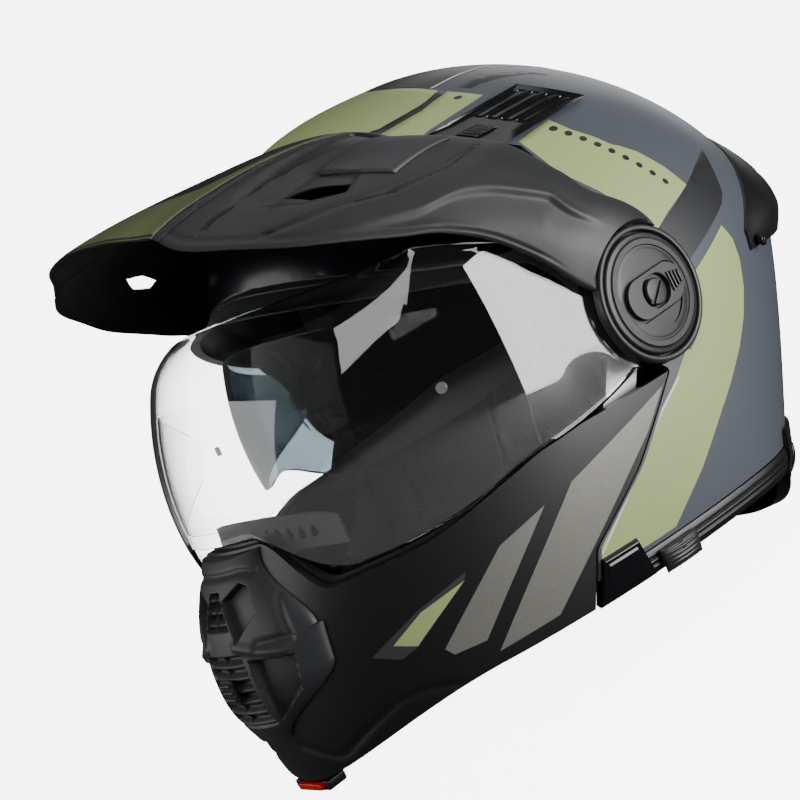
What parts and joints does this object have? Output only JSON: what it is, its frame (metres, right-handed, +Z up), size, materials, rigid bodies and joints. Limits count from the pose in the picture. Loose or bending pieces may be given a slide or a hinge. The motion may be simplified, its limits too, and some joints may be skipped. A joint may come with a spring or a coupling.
{
  "type": "modular motorcycle helmet",
  "caption": "Flip-up touring helmet with a sun peak, a clear face shield, a drop-down sun visor, vents, pads and a buckled chin strap.",
  "frame": {"origin": "on the ground under the middle of the helmet, centred between its sides and between its front and back", "axes": "+X to the wearer's left, +Y to the back, +Z up"},
  "size_m": [0.2676, 0.3774, 0.272],
  "materials": {
    "shell_paint": "satin",
    "liner_foam": "matte",
    "pad_cloth": "matte",
    "seal_rubber": "matte",
    "trim_plastic": "satin",
    "screw_steel": "brushed",
    "vent_plastic": "gloss",
    "slide_plastic": "satin",
    "hub_plastic": "matte",
    "cap_plastic": "satin",
    "smoke_lens": "gloss",
    "strap_webbing": "matte",
    "buckle_steel": "brushed",
    "red_plastic": "gloss",
    "chin_paint": "satin",
    "arm_steel": "brushed",
    "deflector_plastic": "satin",
    "clear_lens": "gloss",
    "clear_film": "gloss",
    "pin_plastic": "gloss",
    "peak_plastic": "satin"
  },
  "bodies": {
    "shell": {"outer_shell": "shell_paint", "shock_liner": "liner_foam", "crown_pad": "pad_cloth", "cheek_pad_left": "pad_cloth", "cheek_pad_right": "pad_cloth", "neck_roll": "pad_cloth", "brow_seal": "seal_rubber", "side_rail_left": "trim_plastic", "side_rail_right": "trim_plastic", "nape_trim": "trim_plastic", "rear_spoiler": "trim_plastic", "spoiler_screws": "screw_steel", "crown_vent_left": "vent_plastic", "crown_vent_right": "vent_plastic", "pivot_hub_left": "hub_plastic", "pivot_hub_right": "hub_plastic", "pivot_cap_left": "cap_plastic", "pivot_cap_right": "cap_plastic", "cap_screws": "cap_plastic", "chin_strap_left": "strap_webbing", "chin_strap_right": "strap_webbing", "buckle_frame": "buckle_steel"},
    "face_bar": {"chin_bar": "chin_paint", "chin_liner": "liner_foam", "chin_arm_left": "arm_steel", "chin_arm_right": "arm_steel", "chin_seal": "seal_rubber", "chin_vent": "trim_plastic", "chin_grille": "vent_plastic", "breath_deflector": "deflector_plastic", "release_housing": "trim_plastic", "peak": "peak_plastic", "peak_cover_left": "peak_plastic", "peak_cover_right": "peak_plastic", "peak_ring_left": "cap_plastic", "peak_ring_right": "cap_plastic"},
    "shield": {"face_shield": "clear_lens", "shield_plate_left": "hub_plastic", "shield_plate_right": "hub_plastic", "fog_insert": "clear_film", "fog_pins": "pin_plastic"},
    "inner_visor": {"sun_visor": "smoke_lens", "visor_arm_left": "hub_plastic", "visor_arm_right": "hub_plastic"},
    "visor_lever": {"visor_lever": "slide_plastic"},
    "crown_slider_left": {"crown_slider_left": "slide_plastic"},
    "crown_slider_right": {"crown_slider_right": "slide_plastic"},
    "cap_tab_left": {"cap_tab_left": "slide_plastic"},
    "cap_tab_right": {"cap_tab_right": "slide_plastic"},
    "vent_shutter": {"vent_shutter": "slide_plastic"},
    "release_button": {"release_button": "red_plastic"},
    "buckle_lever": {"buckle_lever": "red_plastic"}
  },
  "joints": [
    {"name": "chin_lift", "type": "hinge", "parent": "shell", "child": "face_bar", "pos_m": [0, 0.0172, 0.1349], "axis": [-1, 0, 0], "range_deg": [0, 50]},
    {"name": "shield_lift", "type": "hinge", "parent": "face_bar", "child": "shield", "pos_m": [0, 0.0172, 0.1349], "axis": [-1, 0, 0], "range_deg": [0, 19]},
    {"name": "visor_lift", "type": "hinge", "parent": "shell", "child": "inner_visor", "pos_m": [0, 0.0172, 0.1349], "axis": [-1, 0, 0], "range_deg": [0, 30]},
    {"name": "lever_slide", "type": "slide", "parent": "shell", "child": "visor_lever", "axis": [0.1302, 0.9915, 0], "range_m": [0, 0.016]},
    {"name": "crown_slide_left", "type": "slide", "parent": "shell", "child": "crown_slider_left", "axis": [0.3498, -0.9194, 0.1799], "range_m": [0, 0.004]},
    {"name": "crown_slide_right", "type": "slide", "parent": "shell", "child": "crown_slider_right", "axis": [-0.3498, -0.9194, 0.1799], "range_m": [0, 0.004]},
    {"name": "cap_tab_slide_left", "type": "slide", "parent": "shell", "child": "cap_tab_left", "axis": [0, -0.9994, -0.0349], "range_m": [0, 0.003]},
    {"name": "cap_tab_slide_right", "type": "slide", "parent": "shell", "child": "cap_tab_right", "axis": [0, -0.9994, -0.0349], "range_m": [0, 0.003]},
    {"name": "vent_slide", "type": "slide", "parent": "face_bar", "child": "vent_shutter", "axis": [0, 0, 1], "range_m": [0, 0.006]},
    {"name": "release_press", "type": "slide", "parent": "face_bar", "child": "release_button", "axis": [0, 1, 0], "range_m": [0, 0.003], "stiffness_N_per_m": 500},
    {"name": "buckle_open", "type": "hinge", "parent": "shell", "child": "buckle_lever", "pos_m": [0.016, -0.0058, 0.0071], "axis": [0, 1, 0], "range_deg": [0, 60]}
  ],
  "couplings": [
    {"joint": "lever_slide", "follows": "visor_lift", "m_per_rad": 0.030176}
  ]
}
